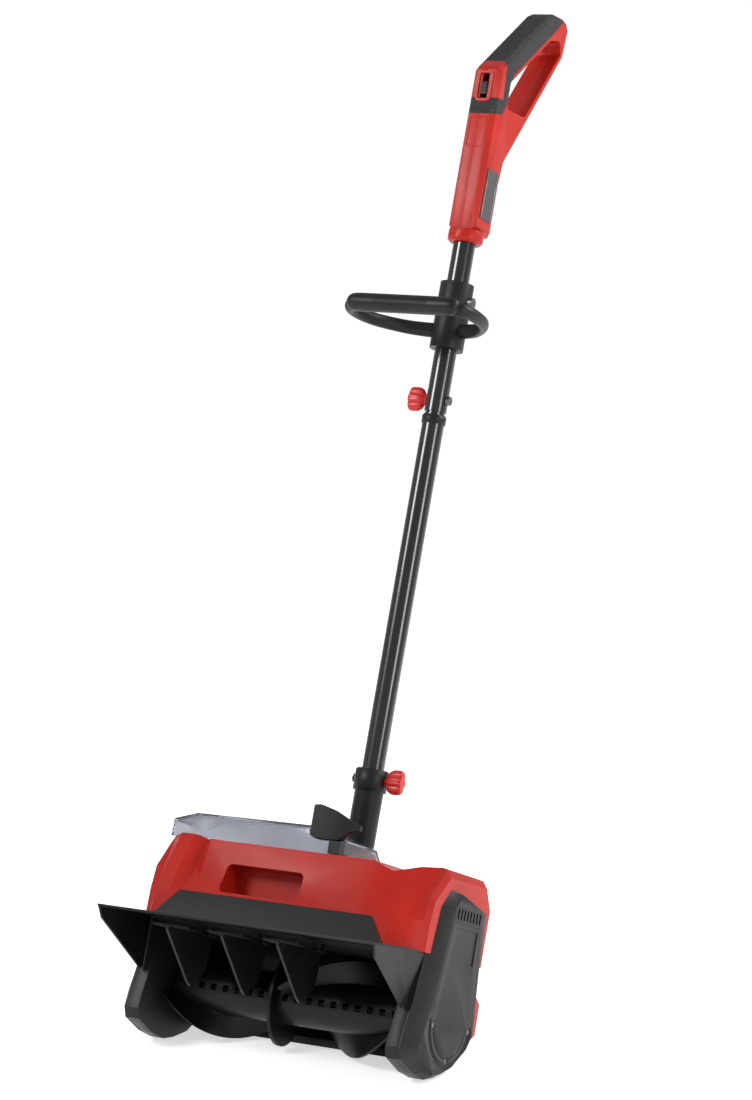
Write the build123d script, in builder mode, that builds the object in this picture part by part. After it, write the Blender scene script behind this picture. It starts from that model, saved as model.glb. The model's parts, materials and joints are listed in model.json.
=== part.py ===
from build123d import *
from math import atan2, cos, degrees, hypot, radians, sin, tan
import os

# Pole-type snow blower. Everything is drawn in the machine frame: +Z runs up the pole, +Y to the
# rear, +X to the right as seen from in front of the intake, and the origin is the auger axis at
# mid-width. stand() then leans each piece back into its rest pose, with +Z up and the origin on
# the floor under the middle of the scraper bar. All sizes are millimetres.

# ---- stance ----
LEAN = 20.0
GROUND_GAP = 4.0
FLAT_LENGTH = 26.0

# ---- auger and its housing ----
AUGER_R = 51.0
SHELL_GAP = 4.0
SHELL_WALL = 3.0
CLEAR_WIDTH = 305.0
DRUM_R = 27.0
DRUM_WALL = 2.5
FLIGHT_THICK = 3.0
SHAFT_R = 6.0
SCOOP_END = 40.0
MOUTH_DEPTH = 104.0
RUN_GAP = 0.05
PART_GAP = 0.3

# ---- side frames and covers ----
FRAME_THICK = 15.5
WEB = 3.5
RIM = 4.0
COVER_DEPTH = 12.0
LEG_REACH = 26.0
COVER_HEIGHT = 72.0
BEARING_R = 15.0
BEARING_LENGTH = 7.0
SCREW_R = 3.0

# ---- hood ----
HOOD_RISE = 8.0
HOOD_HEIGHT = 88.0
HOOD_OVERHANG = 6.0
HOOD_WALL = 2.5
HOOD_TAIL = 3.0
POCKET_WIDTH = 98.0
POCKET_HEIGHT = 35.0
POCKET_X = -26.0

# ---- lid, bay and packs ----
LID_INSET = 3.0
LID_RIGHT = 46.0
LID_FRONT = -50.0
LID_REAR = 32.0
LID_HEIGHT = 34.0
LID_WALL = 2.2
BAY_DEPTH = 60.0
BAY_WALL = 2.5
PACK_HEIGHT = 48.0

# ---- visor and vanes ----
VISOR_REACH = 67.0
VISOR_OVERHANG = 17.5
VISOR_WALL = 2.5
VISOR_RISE = 28.0
VANE_X = (-92.0, -24.0, 44.0)
VANE_Y = -64.0
VANE_THICK = 3.0
VANE_PIN_R = 5.0
VANE_DROP = 52.0
CRANK_ARM = 18.0
CRANK_PIN_R = 3.0

# ---- drive ----
MOTOR_Y = 10.0
MOTOR_DROP = 42.0
MOTOR_R = 27.0
MOTOR_LENGTH = 84.0
MOTOR_SHAFT_R = 4.0
SMALL_PULLEY_R = 10.0
LARGE_PULLEY_R = 34.0
PULLEY_WIDTH = 11.0
BELT_THICK = 2.4

# ---- pole ----
TUBE_R = 12.5
POLE_TUCK = 7.5
TUBE_WALL = 1.5
SOCKET_WALL = 3.5
SOCKET_LENGTH = 90.0
SOCKET_RISE = 20.0
LOWER_TUBE_LENGTH = 480.0
UPPER_TUBE_LENGTH = 292.0
SPIGOT_LENGTH = 120.0
KNOB_R = 14.0
BOLT_R = 3.0

# ---- front handle ----
AUX_HEIGHT = 103.0
AUX_REACH = 111.0
AUX_HALF = 66.0
AUX_GRIP_R = 10.5
AUX_CLAMP_LENGTH = 76.0
AUX_CLAMP_R = 19.0

# ---- main handle ----
HANDLE_HALF = 17.5
HANDLE_WALL = 2.5
COLLAR_R = 20.0
COLLAR_LENGTH = 14.0
SKIN = 1.8

# ---- values that follow from the above ----
SHELL_IN = AUGER_R + SHELL_GAP
SHELL_OUT = SHELL_IN + SHELL_WALL
AXIS_HEIGHT = AUGER_R + GROUND_GAP
HALF_CLEAR = CLEAR_WIDTH / 2
FRAME_OUT = HALF_CLEAR + FRAME_THICK
COVER_OUT = FRAME_OUT + COVER_DEPTH
HOOD_HALF = FRAME_OUT + HOOD_OVERHANG
LID_LEFT = LID_INSET - HOOD_HALF
VISOR_HALF = HALF_CLEAR + VISOR_OVERHANG
HOOD_BASE = SHELL_OUT + HOOD_RISE
HOOD_TOP = HOOD_BASE + HOOD_HEIGHT
COVER_TOP = HOOD_BASE + COVER_HEIGHT
HOOD_REAR = SHELL_OUT + HOOD_TAIL
POLE_Y = SHELL_OUT + TUBE_R - POLE_TUCK
MOTOR_Z = HOOD_TOP - MOTOR_DROP
SOCKET_Z = HOOD_TOP + SOCKET_RISE
SOCKET_TOP = SOCKET_Z + SOCKET_LENGTH
SOCKET_R = TUBE_R + SOCKET_WALL
TUBE_START = SOCKET_Z + 12.0
NECK_Z = TUBE_START + LOWER_TUBE_LENGTH
TUBE_TOP = NECK_Z + UPPER_TUBE_LENGTH
AUX_Z = NECK_Z + AUX_HEIGHT
HANDLE_Z = TUBE_TOP - 80.0
LIP_Z = HOOD_BASE - 4.0
FACE_LEAN = 9.0
BELT_X = HALF_CLEAR + BEARING_LENGTH + 1.5


def floor_level(y):
    """Height of the floor in the machine frame at depth y."""
    return (y * sin(radians(LEAN)) - AXIS_HEIGHT) / cos(radians(LEAN))


SCRAPER_Y = SHELL_IN * cos(radians(SCOOP_END)) + 4.0
ORIGIN_Y = SCRAPER_Y * cos(radians(LEAN)) + floor_level(SCRAPER_Y) * sin(radians(LEAN))
STANCE = Location((0, -ORIGIN_Y, AXIS_HEIGHT), (-LEAN, 0, 0))


def stand(piece, name):
    """Lean a finished piece into the rest pose, label it and write its STEP file."""
    piece.part.move(STANCE)
    piece.part.label = name
    export_step(piece.part, f"parts/{name}.step")


def in_order(shapes):
    """The same vertices or edges, always listed in the same order, whatever order they were found in."""
    return shapes.sort_by(lambda s: tuple(round(v, 3) for v in (s.center().Y, s.center().X, s.center().Z)))


def side_plane(x):
    """The plane across the machine at x, with local x to the rear and local y up the pole."""
    return Plane.YZ.offset(x)


def pole_plane(z):
    """The plane square to the pole at height z, centred on the pole."""
    return Plane(origin=(0, POLE_Y, z))


def across(x, y, z):
    """A plane at (x, y, z) whose normal runs along +X."""
    return Plane(origin=(x, y, z), x_dir=(0, 1, 0), z_dir=(1, 0, 0))


def leg_outline():
    """Side view of a leg, from the top front corner round to the toe."""
    flat_front = SHELL_OUT - FLAT_LENGTH - 34
    toe = AUGER_R + LEG_REACH
    return [
        (-AUGER_R - 6, COVER_TOP - 20),
        (-AUGER_R + 10, COVER_TOP),
        (SHELL_OUT - 15, COVER_TOP - 12),
        (SHELL_OUT - 9, HOOD_BASE - 4),
        (SHELL_OUT, -7),
        (SHELL_OUT - 9, -SHELL_OUT / 2),
        (flat_front + FLAT_LENGTH, floor_level(flat_front + FLAT_LENGTH)),
        (flat_front, floor_level(flat_front)),
        (flat_front - 18, floor_level(flat_front - 18) + 3),
        (-AUGER_R + 5, -AUGER_R - 8),
        (-toe, -AUGER_R + 3),
        (-toe - 6, -AUGER_R + 14),
        (-toe - 3, -SHELL_OUT / 3),
        (-toe + 6, 14),
        (-AUGER_R - 12, HOOD_BASE),
    ]


def cover_face_outline():
    """Outer face of a side cover: the leg outline drawn in, with a wide bevel at the front."""
    bevel = 24
    inset = 4
    face = []
    for y, z in leg_outline():
        shift_y = bevel if y < -AUGER_R / 2 else -inset * (1 if y > 0 else 0)
        shift_z = -inset if z > HOOD_BASE + 10 else (inset + 2 if z < -AUGER_R / 2 else 0)
        face.append((y + shift_y, z + shift_z))
    return face


os.makedirs("parts", exist_ok=True)


# ---- auger housing: rear scoop and roof ----
with BuildPart() as auger_housing:
    with BuildSketch(side_plane(-HALF_CLEAR)):
        with BuildLine():
            outer = CenterArc((0, 0), SHELL_OUT, 90, -90 - SCOOP_END)
            inner = CenterArc((0, 0), SHELL_IN, 90, -90 - SCOOP_END)
            Line(outer @ 1, inner @ 1)
            Polyline(outer @ 0, (-MOUTH_DEPTH + 4, LIP_Z + SHELL_WALL),
                     (-MOUTH_DEPTH + 4, LIP_Z), inner @ 0)
        make_face()
    extrude(amount=CLEAR_WIDTH)
    with Locations(*[(x, VANE_Y, LIP_Z) for x in VANE_X]):
        Hole(VANE_PIN_R + PART_GAP)
stand(auger_housing, "auger_housing")

# ---- scraper bar: replaceable edge under the scoop ----
with BuildPart() as scraper_bar:
    inner_end = (SHELL_IN * cos(radians(SCOOP_END)), -SHELL_IN * sin(radians(SCOOP_END)))
    outer_end = (SHELL_OUT * cos(radians(SCOOP_END)), -SHELL_OUT * sin(radians(SCOOP_END)))
    with BuildSketch(side_plane(-HALF_CLEAR)):
        Polygon(inner_end, outer_end, (outer_end[0] + 3.2, outer_end[1] + 2.2),
                (SCRAPER_Y + 4, outer_end[1] + 1), (SCRAPER_Y + 4, floor_level(SCRAPER_Y + 4)),
                (SCRAPER_Y - 4, floor_level(SCRAPER_Y - 4)), align=None)
    extrude(amount=CLEAR_WIDTH)
stand(scraper_bar, "scraper_bar")


# ---- side frames, covers, bearings ----
def side_frame(side):
    """A leg and side wall: a web with a bearing boss and an outer rim."""
    with BuildPart() as frame:
        with BuildSketch(side_plane(side * HALF_CLEAR)):
            Polygon(*leg_outline(), align=None)
        extrude(amount=side * FRAME_THICK)
        with BuildSketch(side_plane(side * (HALF_CLEAR + WEB))):
            Polygon(*leg_outline(), align=None)
            offset(amount=-RIM, mode=Mode.REPLACE)
            Circle(BEARING_R + RIM, mode=Mode.SUBTRACT)
        extrude(amount=side * FRAME_THICK, mode=Mode.SUBTRACT)
        with BuildSketch(side_plane(side * (HALF_CLEAR + BEARING_LENGTH))):
            Circle(BEARING_R + RIM + 1)
        extrude(amount=side * FRAME_THICK, mode=Mode.SUBTRACT)
        with BuildSketch(side_plane(side * HALF_CLEAR)):
            Circle(BEARING_R)
            if side > 0:
                with Locations((MOTOR_Y, MOTOR_Z)):
                    Circle(MOTOR_SHAFT_R + 1)
        extrude(amount=side * FRAME_THICK, mode=Mode.SUBTRACT)
    return frame


with BuildPart() as shaft_bearings:
    for side in (-1, 1):
        with BuildSketch(side_plane(side * HALF_CLEAR)):
            Circle(BEARING_R - RUN_GAP / 5)
            Circle(SHAFT_R + RUN_GAP, mode=Mode.SUBTRACT)
        extrude(amount=side * BEARING_LENGTH)
stand(shaft_bearings, "shaft_bearings")

GRILLE_Y = 3.0
GRILLE_Z = COVER_TOP - 24.0
GRILLE_WIDTH = 54.0
GRILLE_HEIGHT = 17.0
GRILLE_THICK = 2.0


def side_cover(side):
    """An outer cover with a front bevel, a grille seat, a sunk panel and a round groove."""
    base = side * FRAME_OUT
    with BuildPart() as cover:
        with BuildSketch(side_plane(base)):
            Polygon(*leg_outline(), align=None)
        extrude(amount=side * 2)
        with BuildSketch(side_plane(base + side * 2)):
            Polygon(*leg_outline(), align=None)
        with BuildSketch(side_plane(base + side * COVER_DEPTH)):
            Polygon(*cover_face_outline(), align=None)
        loft(ruled=True)
        with BuildSketch(side_plane(base)):
            Circle(LARGE_PULLEY_R + 7)
            with Locations((MOTOR_Y, MOTOR_Z - 7)):
                Circle(SMALL_PULLEY_R + 10)
            make_hull()
        extrude(amount=side * (COVER_DEPTH - 3), mode=Mode.SUBTRACT)
        with BuildSketch(side_plane(side * (COVER_OUT - GRILLE_THICK))):
            with Locations((GRILLE_Y, GRILLE_Z)):
                Rectangle(GRILLE_WIDTH + 2 * RUN_GAP, GRILLE_HEIGHT + 2 * RUN_GAP)
        extrude(amount=side * GRILLE_THICK, mode=Mode.SUBTRACT)
        with BuildSketch(side_plane(side * (COVER_OUT - 1))):
            with Locations((GRILLE_Y, GRILLE_Z - 32)):
                Rectangle(GRILLE_WIDTH - 4, 36)
        extrude(amount=side, mode=Mode.SUBTRACT)
        with BuildSketch(side_plane(side * (COVER_OUT - 0.8))):
            Circle(AUGER_R * 0.86)
            Circle(AUGER_R * 0.86 - 1.6, mode=Mode.SUBTRACT)
            with Locations((0, AUGER_R)):
                Rectangle(AUGER_R * 2, AUGER_R * 2, mode=Mode.SUBTRACT)
        extrude(amount=side, mode=Mode.SUBTRACT)
        with Locations(*[across(side * COVER_OUT, y, z) for y, z in COVER_SCREWS]):
            Cylinder(SCREW_R + RUN_GAP, 8, mode=Mode.SUBTRACT)
    return cover


COVER_SCREWS = [(-AUGER_R * 0.72, -6), (SHELL_OUT - 15, -4), (4, -AUGER_R * 0.78)]

for side, word in ((-1, "left"), (1, "right")):
    stand(side_frame(side), f"{word}_side_frame")
    stand(side_cover(side), f"{word}_side_cover")

with BuildPart() as vent_grilles:
    for side in (-1, 1):
        with BuildSketch(side_plane(side * (COVER_OUT - GRILLE_THICK))):
            with Locations((GRILLE_Y, GRILLE_Z)):
                Rectangle(GRILLE_WIDTH, GRILLE_HEIGHT)
                with GridLocations(7, 1, 8, 1):
                    SlotOverall(GRILLE_HEIGHT - 5, 3, rotation=90, mode=Mode.SUBTRACT)
        extrude(amount=side * GRILLE_THICK)
stand(vent_grilles, "vent_grilles")


# ---- hood: one shell with a raised shoulder at each end ----
LEFT_STEP = 46.0 - HOOD_HALF
RIGHT_STEP = HOOD_HALF - 58.0
TOP_FRONT = -74.0


def hood_profile(front, brow, shrink):
    """Side view of one stretch of hood; shrink draws every face in by the wall."""
    top = HOOD_TOP + brow - shrink
    rear = HOOD_REAR - shrink
    return [
        (-MOUTH_DEPTH + shrink, HOOD_BASE),
        (-MOUTH_DEPTH + FACE_LEAN + shrink, HOOD_BASE + VISOR_RISE),
        (front - 12 + shrink * 1.3, HOOD_TOP - 42 - shrink / 2),
        (front + shrink * 1.3, top),
        (rear - 15, top),
        (rear, HOOD_TOP - 26),
        (rear, HOOD_BASE),
    ]


def hood_block(shrink):
    """The hood's three stretches as one block, drawn in by shrink, with its corners cut off."""
    stretches = (
        (-HOOD_HALF + shrink, LEFT_STEP - shrink, TOP_FRONT + 18, 0),
        (LEFT_STEP - 8 + shrink, RIGHT_STEP + 8 - shrink, TOP_FRONT, 0),
        (RIGHT_STEP + shrink, HOOD_HALF - 1 - shrink, TOP_FRONT + 34, 6),
    )
    corner_x = 32
    corner_y = 44
    with BuildPart() as block:
        for low, high, front, brow in stretches:
            with BuildSketch(side_plane(low)):
                Polygon(*hood_profile(front, brow, shrink), align=None)
            extrude(amount=high - low)
        for side in (-1, 1):
            edge = side * (HOOD_HALF - shrink)
            with BuildSketch(Plane.XY.offset(HOOD_BASE)):
                with BuildLine():
                    Polyline((edge + side * 5, -MOUTH_DEPTH - 5),
                             (edge - side * corner_x, -MOUTH_DEPTH + shrink * 0.4 - 0.01),
                             (edge, -MOUTH_DEPTH + corner_y + shrink * 0.4),
                             (edge + side * 5, -MOUTH_DEPTH + corner_y), close=True)
                make_face()
            extrude(amount=HOOD_HEIGHT + 20, mode=Mode.SUBTRACT)
    return block.part


POCKET_Z = HOOD_BASE + 31.0
HINGE_Y = LID_REAR + 5
HINGE_Z = HOOD_TOP + 5.5
HINGE_PIN_R = 2.0
KNUCKLE_R = 4.4
LUGS = (-146.0, -62.0, 22.0)
POCKET_BACK = -54.0
BOSS_R = SOCKET_R + 4
BAY_LEFT = -HALF_CLEAR + 1
BAY_RIGHT = LID_RIGHT - 2
STEM_GAP = VANE_PIN_R + PART_GAP


def box_between(low, high, mode=Mode.ADD):
    """A box from one corner to the opposite one."""
    size = [b - a for a, b in zip(low, high)]
    middle = [(a + b) / 2 for a, b in zip(low, high)]
    with Locations(tuple(middle)):
        Box(*size, mode=mode)


with BuildPart() as hood:
    add(hood_block(0))
    add(hood_block(HOOD_WALL), mode=Mode.SUBTRACT)
    pocket_left = POCKET_X - POCKET_WIDTH / 2
    pocket_right = POCKET_X + POCKET_WIDTH / 2
    box_between((pocket_left - HOOD_WALL, -MOUTH_DEPTH + 16, POCKET_Z - HOOD_WALL),
                (pocket_right + HOOD_WALL, POCKET_BACK + HOOD_WALL, POCKET_Z + POCKET_HEIGHT + HOOD_WALL))
    box_between((pocket_left, -MOUTH_DEPTH - 20, POCKET_Z),
                (pocket_right, POCKET_BACK, POCKET_Z + POCKET_HEIGHT), Mode.SUBTRACT)
    with Locations((0, POLE_Y, (HOOD_BASE + SOCKET_Z) / 2)):
        Cylinder(BOSS_R, SOCKET_Z - HOOD_BASE)
        Cylinder(SOCKET_R + RUN_GAP, SOCKET_Z - HOOD_BASE, mode=Mode.SUBTRACT)
    box_between((BAY_LEFT - 0.5, LID_FRONT, HOOD_TOP - 10),
                (BAY_RIGHT + 0.5, LID_REAR, SOCKET_Z), Mode.SUBTRACT)
    with BuildSketch(Plane.XY.offset(HOOD_TOP - 10)):
        with Locations((VANE_X[2], VANE_Y)):
            Circle(STEM_GAP)
    extrude(amount=30, mode=Mode.SUBTRACT)
    for side in (-1, 1):
        with BuildSketch(side_plane(side * (HALF_CLEAR - 1.5))):
            Polygon(*leg_outline(), align=None)
        extrude(amount=side * 40, mode=Mode.SUBTRACT)
    for x in LUGS:
        with BuildSketch(side_plane(x - 3)):
            Polygon((HINGE_Y - 4, HOOD_TOP - 1), (HINGE_Y + 4, HOOD_TOP - 1), (HINGE_Y + 4, HINGE_Z),
                    (HINGE_Y - 4, HINGE_Z), align=None)
            with Locations((HINGE_Y, HINGE_Z)):
                Circle(4)
        extrude(amount=6)
    with Locations(across((LUGS[0] + LUGS[2]) / 2, HINGE_Y, HINGE_Z)):
        Cylinder(HINGE_PIN_R + RUN_GAP / 5, LUGS[2] - LUGS[0] + 20, mode=Mode.SUBTRACT)
stand(hood, "red_hood")

# ---- rear shell and heel: closes the back and props the machine up ----
SHELL_BULGE = HOOD_REAR + 16
REAR_HALF = HOOD_HALF - 3
with BuildPart() as rear_shell:
    rear_outline = [
        (20, HOOD_BASE - 0.2),
        (HOOD_REAR, HOOD_BASE - 0.2),
        (HOOD_REAR + 4, HOOD_BASE - 30),
        (SHELL_BULGE - 1, HOOD_BASE - 38),
        (SHELL_BULGE, -5),
        (HOOD_REAR + 1, -16),
        (20, -16),
    ]
    with BuildSketch(side_plane(-REAR_HALF)) as rear_face:
        Polygon(*rear_outline, align=None)
        Circle(SHELL_OUT + 0.1, mode=Mode.SUBTRACT)
        with Locations((0, HOOD_BASE)):
            Rectangle(2 * SHELL_OUT - 40, HOOD_RISE * 4, mode=Mode.SUBTRACT)
    extrude(amount=2 * REAR_HALF)
    with BuildSketch(side_plane(-REAR_HALF + HOOD_WALL)):
        add(rear_face.sketch_local)
        offset(amount=-HOOD_WALL, mode=Mode.REPLACE)
    extrude(amount=2 * (REAR_HALF - HOOD_WALL), mode=Mode.SUBTRACT)
    for side in (-1, 1):
        with BuildSketch(side_plane(side * (HALF_CLEAR - 0.5))):
            Polygon(*leg_outline(), align=None)
        extrude(amount=side * 40, mode=Mode.SUBTRACT)
stand(rear_shell, "rear_shell")

HEEL_WIDTH = 116.0
HEEL_REACH = 50.0
with BuildPart() as rear_heel:
    tip = SHELL_OUT + HEEL_REACH
    with BuildSketch(side_plane(-HEEL_WIDTH / 2)) as heel_side:
        Polygon((SHELL_BULGE + 0.1, 8), (SHELL_BULGE + 0.1, -5.1), (HOOD_REAR + 1, -16.2),
                (HOOD_REAR + 2, -22), (tip, floor_level(tip)), (tip + 17, floor_level(tip + 17)),
                (tip + 17, floor_level(tip + 17) + 6), (SHELL_BULGE + 8, 8), align=None)
    extrude(amount=HEEL_WIDTH)
    with BuildSketch(side_plane(-HEEL_WIDTH / 2)):
        add(heel_side.sketch_local)
        offset(amount=-3.2, mode=Mode.REPLACE)
    extrude(amount=HEEL_WIDTH, mode=Mode.SUBTRACT)
stand(rear_heel, "rear_heel")

# ---- visor: sloped face, thin lip and side fins ----
VISOR_FRONT = -MOUTH_DEPTH - VISOR_REACH
with BuildPart() as visor:
    face_top = HOOD_HALF - 56.0
    face_low = HOOD_HALF - 34.0
    with BuildSketch(side_plane(-face_low)):
        Polygon((-MOUTH_DEPTH - VISOR_WALL, HOOD_BASE), (-MOUTH_DEPTH - 0.2, HOOD_BASE),
                (-MOUTH_DEPTH + FACE_LEAN - 0.2, HOOD_BASE + VISOR_RISE),
                (-MOUTH_DEPTH + FACE_LEAN - VISOR_WALL, HOOD_BASE + VISOR_RISE), align=None)
    extrude(amount=2 * face_low)
    for side in (-1, 1):
        with BuildSketch(Plane.XZ.offset(MOUTH_DEPTH + 10)):
            Polygon((side * (face_low + 1), HOOD_BASE - 1), (side * (face_low + 1), HOOD_BASE + 40),
                    (side * (face_top - 10), HOOD_BASE + 40), (side * face_top, HOOD_BASE + VISOR_RISE),
                    (side * face_low, HOOD_BASE), align=None)
        extrude(amount=-30, mode=Mode.SUBTRACT)
    with BuildSketch(side_plane(-VISOR_HALF)):
        Polygon((VISOR_FRONT, LIP_Z - VISOR_WALL), (VISOR_FRONT, LIP_Z),
                (-MOUTH_DEPTH - VISOR_WALL, HOOD_BASE), (-MOUTH_DEPTH + 4, HOOD_BASE),
                (-MOUTH_DEPTH + 4, HOOD_BASE - VISOR_WALL), align=None)
    extrude(amount=2 * VISOR_HALF)
    for side in (-1, 1):
        ends = sorted((side * (HALF_CLEAR + 0.5), side * VISOR_HALF))
        box_between((ends[0], -MOUTH_DEPTH + 3, HOOD_BASE - VISOR_WALL),
                    (ends[1], -AUGER_R - 13, HOOD_BASE))
    fin_tilt = degrees(atan2(7, 56))
    fin_plane = Plane(origin=(VISOR_HALF - VISOR_WALL, 0, LIP_Z), x_dir=(0, 1, 0),
                      z_dir=(cos(radians(fin_tilt)), 0, -sin(radians(fin_tilt))))
    with BuildSketch(fin_plane):
        Polygon((VISOR_FRONT, -0.5), (-MOUTH_DEPTH, 2.2), (-AUGER_R - 14, 2.2),
                (-AUGER_R - 24, LIP_Z * -0.87), (-AUGER_R - 28, LIP_Z * -0.92),
                (VISOR_FRONT + 8, -14), align=None)
    extrude(amount=VISOR_WALL)
    mirror(about=Plane.YZ)
stand(visor, "visor")


# ---- deflector vanes, their cranks, the link bar and the lever ----
VANE_TOP = LIP_Z - 12.0
CRANK_Z = HOOD_BASE + 2.0
CRANK_THICK = 4.0


def vane(x, pin_top):
    """An upright vane with a bow-tie flange, and its pivot pin if it has its own."""
    with BuildPart() as blade:
        with BuildSketch(side_plane(x - VANE_THICK / 2)):
            Polygon((VISOR_FRONT + 21, VANE_TOP), (VISOR_FRONT + 21, VANE_TOP - 4),
                    (-AUGER_R - 42, VANE_TOP - VANE_DROP), (-AUGER_R - 34, VANE_TOP - VANE_DROP - 4),
                    (-AUGER_R - 10, VANE_TOP - 38), (VANE_Y + 7, VANE_TOP), align=None)
        extrude(amount=VANE_THICK)
        with BuildSketch(Plane.XY.offset(VANE_TOP)):
            with Locations((x, VISOR_FRONT + 40)):
                Polygon((-22, -14), (-4, -18), (4, -18), (22, -14), (24, 12), (5, 4), (-5, 4), (-24, 12),
                        align=None)
            with Locations((x, VANE_Y)):
                Circle(VANE_PIN_R + 4)
            box_top = VANE_Y - VISOR_FRONT - 30
            with Locations((x, VANE_Y - box_top / 2)):
                Rectangle(8, box_top)
        extrude(amount=2.5)
        if pin_top:
            with BuildSketch(Plane.XY.offset(VANE_TOP + 2)):
                with Locations((x, VANE_Y)):
                    Circle(VANE_PIN_R)
            extrude(amount=pin_top - VANE_TOP - 2)
    return blade


def crank(x):
    """A crank arm keyed to a pivot pin, with an upright pin for the link bar."""
    with BuildPart() as arm:
        with BuildSketch(Plane.XY.offset(CRANK_Z)):
            with Locations((x, VANE_Y)):
                Circle(VANE_PIN_R + 4)
            with Locations((x, VANE_Y + CRANK_ARM)):
                Circle(CRANK_PIN_R + 2)
            make_hull()
            with Locations((x, VANE_Y)):
                Circle(VANE_PIN_R + RUN_GAP / 5, mode=Mode.SUBTRACT)
        extrude(amount=CRANK_THICK)
        with BuildSketch(Plane.XY.offset(CRANK_Z + CRANK_THICK)):
            with Locations((x, VANE_Y + CRANK_ARM)):
                Circle(CRANK_PIN_R)
        extrude(amount=7)
    return arm


for x, word in zip(VANE_X, ("left", "middle", "right")):
    pin_top = 0 if word == "right" else CRANK_Z + CRANK_THICK + 2
    stand(vane(x, pin_top), f"{word}_vane")
    stand(crank(x), f"{word}_vane_crank")

SLOT_GAP = 0.4
with BuildPart() as link_bar:
    slot_play = 1.2
    with BuildSketch(Plane.XY.offset(CRANK_Z + CRANK_THICK + 1)):
        bar_middle = (VANE_X[0] + VANE_X[2]) / 2
        with Locations((bar_middle, VANE_Y + CRANK_ARM)):
            SlotCenterToCenter(VANE_X[2] - VANE_X[0], 2 * CRANK_PIN_R + 9)
        with Locations(*[(x, VANE_Y + CRANK_ARM - slot_play / 2) for x in VANE_X]):
            SlotCenterToCenter(slot_play, 2 * (CRANK_PIN_R + SLOT_GAP), rotation=90, mode=Mode.SUBTRACT)
    extrude(amount=3)
stand(link_bar, "vane_link_bar")

STEM_WIDTH = 14.0
PADDLE_Z = HOOD_TOP + 15
PADDLE_HEIGHT = 37.0
with BuildPart() as lever_stem:
    stem_x = VANE_X[2]
    with Locations((stem_x, VANE_Y, (VANE_TOP + 2.5 + PADDLE_Z) / 2)):
        Cylinder(VANE_PIN_R, PADDLE_Z - VANE_TOP - 2.5)
    with Locations((stem_x, VANE_Y, (HOOD_TOP + 1 + PADDLE_Z) / 2)):
        Box(STEM_WIDTH, 10, PADDLE_Z - HOOD_TOP - 1)
stand(lever_stem, "lever_stem")

with BuildPart() as lever_paddle:
    box_between((stem_x - 31, VANE_Y - 5, PADDLE_Z), (stem_x + 5, VANE_Y + 1, PADDLE_Z + PADDLE_HEIGHT))
    box_between((stem_x - 8, VANE_Y - 8, PADDLE_Z), (stem_x + 8, VANE_Y + 8, PADDLE_Z + PADDLE_HEIGHT - 12))
    box_between((stem_x - 2, VANE_Y - 4, PADDLE_Z + 15), (stem_x + 24, VANE_Y + 2, PADDLE_Z + 25))
stand(lever_paddle, "lever_paddle")

# ---- battery lid, hinge, bay, packs and electronics ----
LID_BASE = HOOD_TOP + 0.5
KNUCKLES = (LID_LEFT + 38.0, LID_RIGHT - 37.0)


def lid_block(shrink):
    """The lid as a block: low ends, a flat top and a long rear slope, drawn in by shrink."""
    left = LID_LEFT + shrink
    right = LID_RIGHT - shrink
    top = LID_BASE + LID_HEIGHT - 4 - shrink
    with BuildPart() as block:
        with BuildSketch(Plane.XZ.offset(-LID_FRONT - shrink)):
            Polygon((left, LID_BASE), (left, top - 11), (left + 29, top - 2), (5, top),
                    (right, top - 12), (right, LID_BASE), align=None)
        extrude(amount=-(LID_REAR - LID_FRONT - 2 * shrink))
        rear = LID_REAR - shrink
        with BuildSketch(side_plane(LID_LEFT - 10)):
            Polygon((rear - 24, top + 1), (rear + 1, top + 1), (rear + 1, LID_BASE + 7), align=None)
        extrude(amount=LID_RIGHT - LID_LEFT + 20, mode=Mode.SUBTRACT)
    return block.part


with BuildPart() as battery_lid:
    add(lid_block(0))
    add(lid_block(LID_WALL), mode=Mode.SUBTRACT)
    for x in KNUCKLES:
        with BuildSketch(side_plane(x - 5)):
            with Locations((HINGE_Y, HINGE_Z)):
                Circle(KNUCKLE_R)
            Polygon((LID_REAR - 1, LID_BASE + 1), (HINGE_Y, LID_BASE + 1),
                    (HINGE_Y, HINGE_Z), (LID_REAR - 1, HINGE_Z), align=None)
            with Locations((HINGE_Y, HINGE_Z)):
                Circle(HINGE_PIN_R + RUN_GAP, mode=Mode.SUBTRACT)
        extrude(amount=10)
stand(battery_lid, "battery_lid")

with BuildPart() as lid_hinge_pin:
    with BuildSketch(side_plane(LUGS[0] - 3)):
        with Locations((HINGE_Y, HINGE_Z)):
            Circle(HINGE_PIN_R)
    extrude(amount=LUGS[2] - LUGS[0] + 6)
stand(lid_hinge_pin, "lid_hinge_pin")

BAY_FLOOR = HOOD_TOP - BAY_DEPTH
with BuildPart() as battery_bay:
    box_between((BAY_LEFT, LID_FRONT + 1, BAY_FLOOR), (BAY_RIGHT, LID_REAR - 1, HOOD_TOP - 0.5))
    box_between((BAY_LEFT + BAY_WALL, LID_FRONT + 1 + BAY_WALL, BAY_FLOOR + BAY_WALL),
                (BAY_RIGHT - BAY_WALL, LID_REAR - 1 - BAY_WALL, HOOD_TOP), Mode.SUBTRACT)
stand(battery_bay, "battery_bay")

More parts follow.
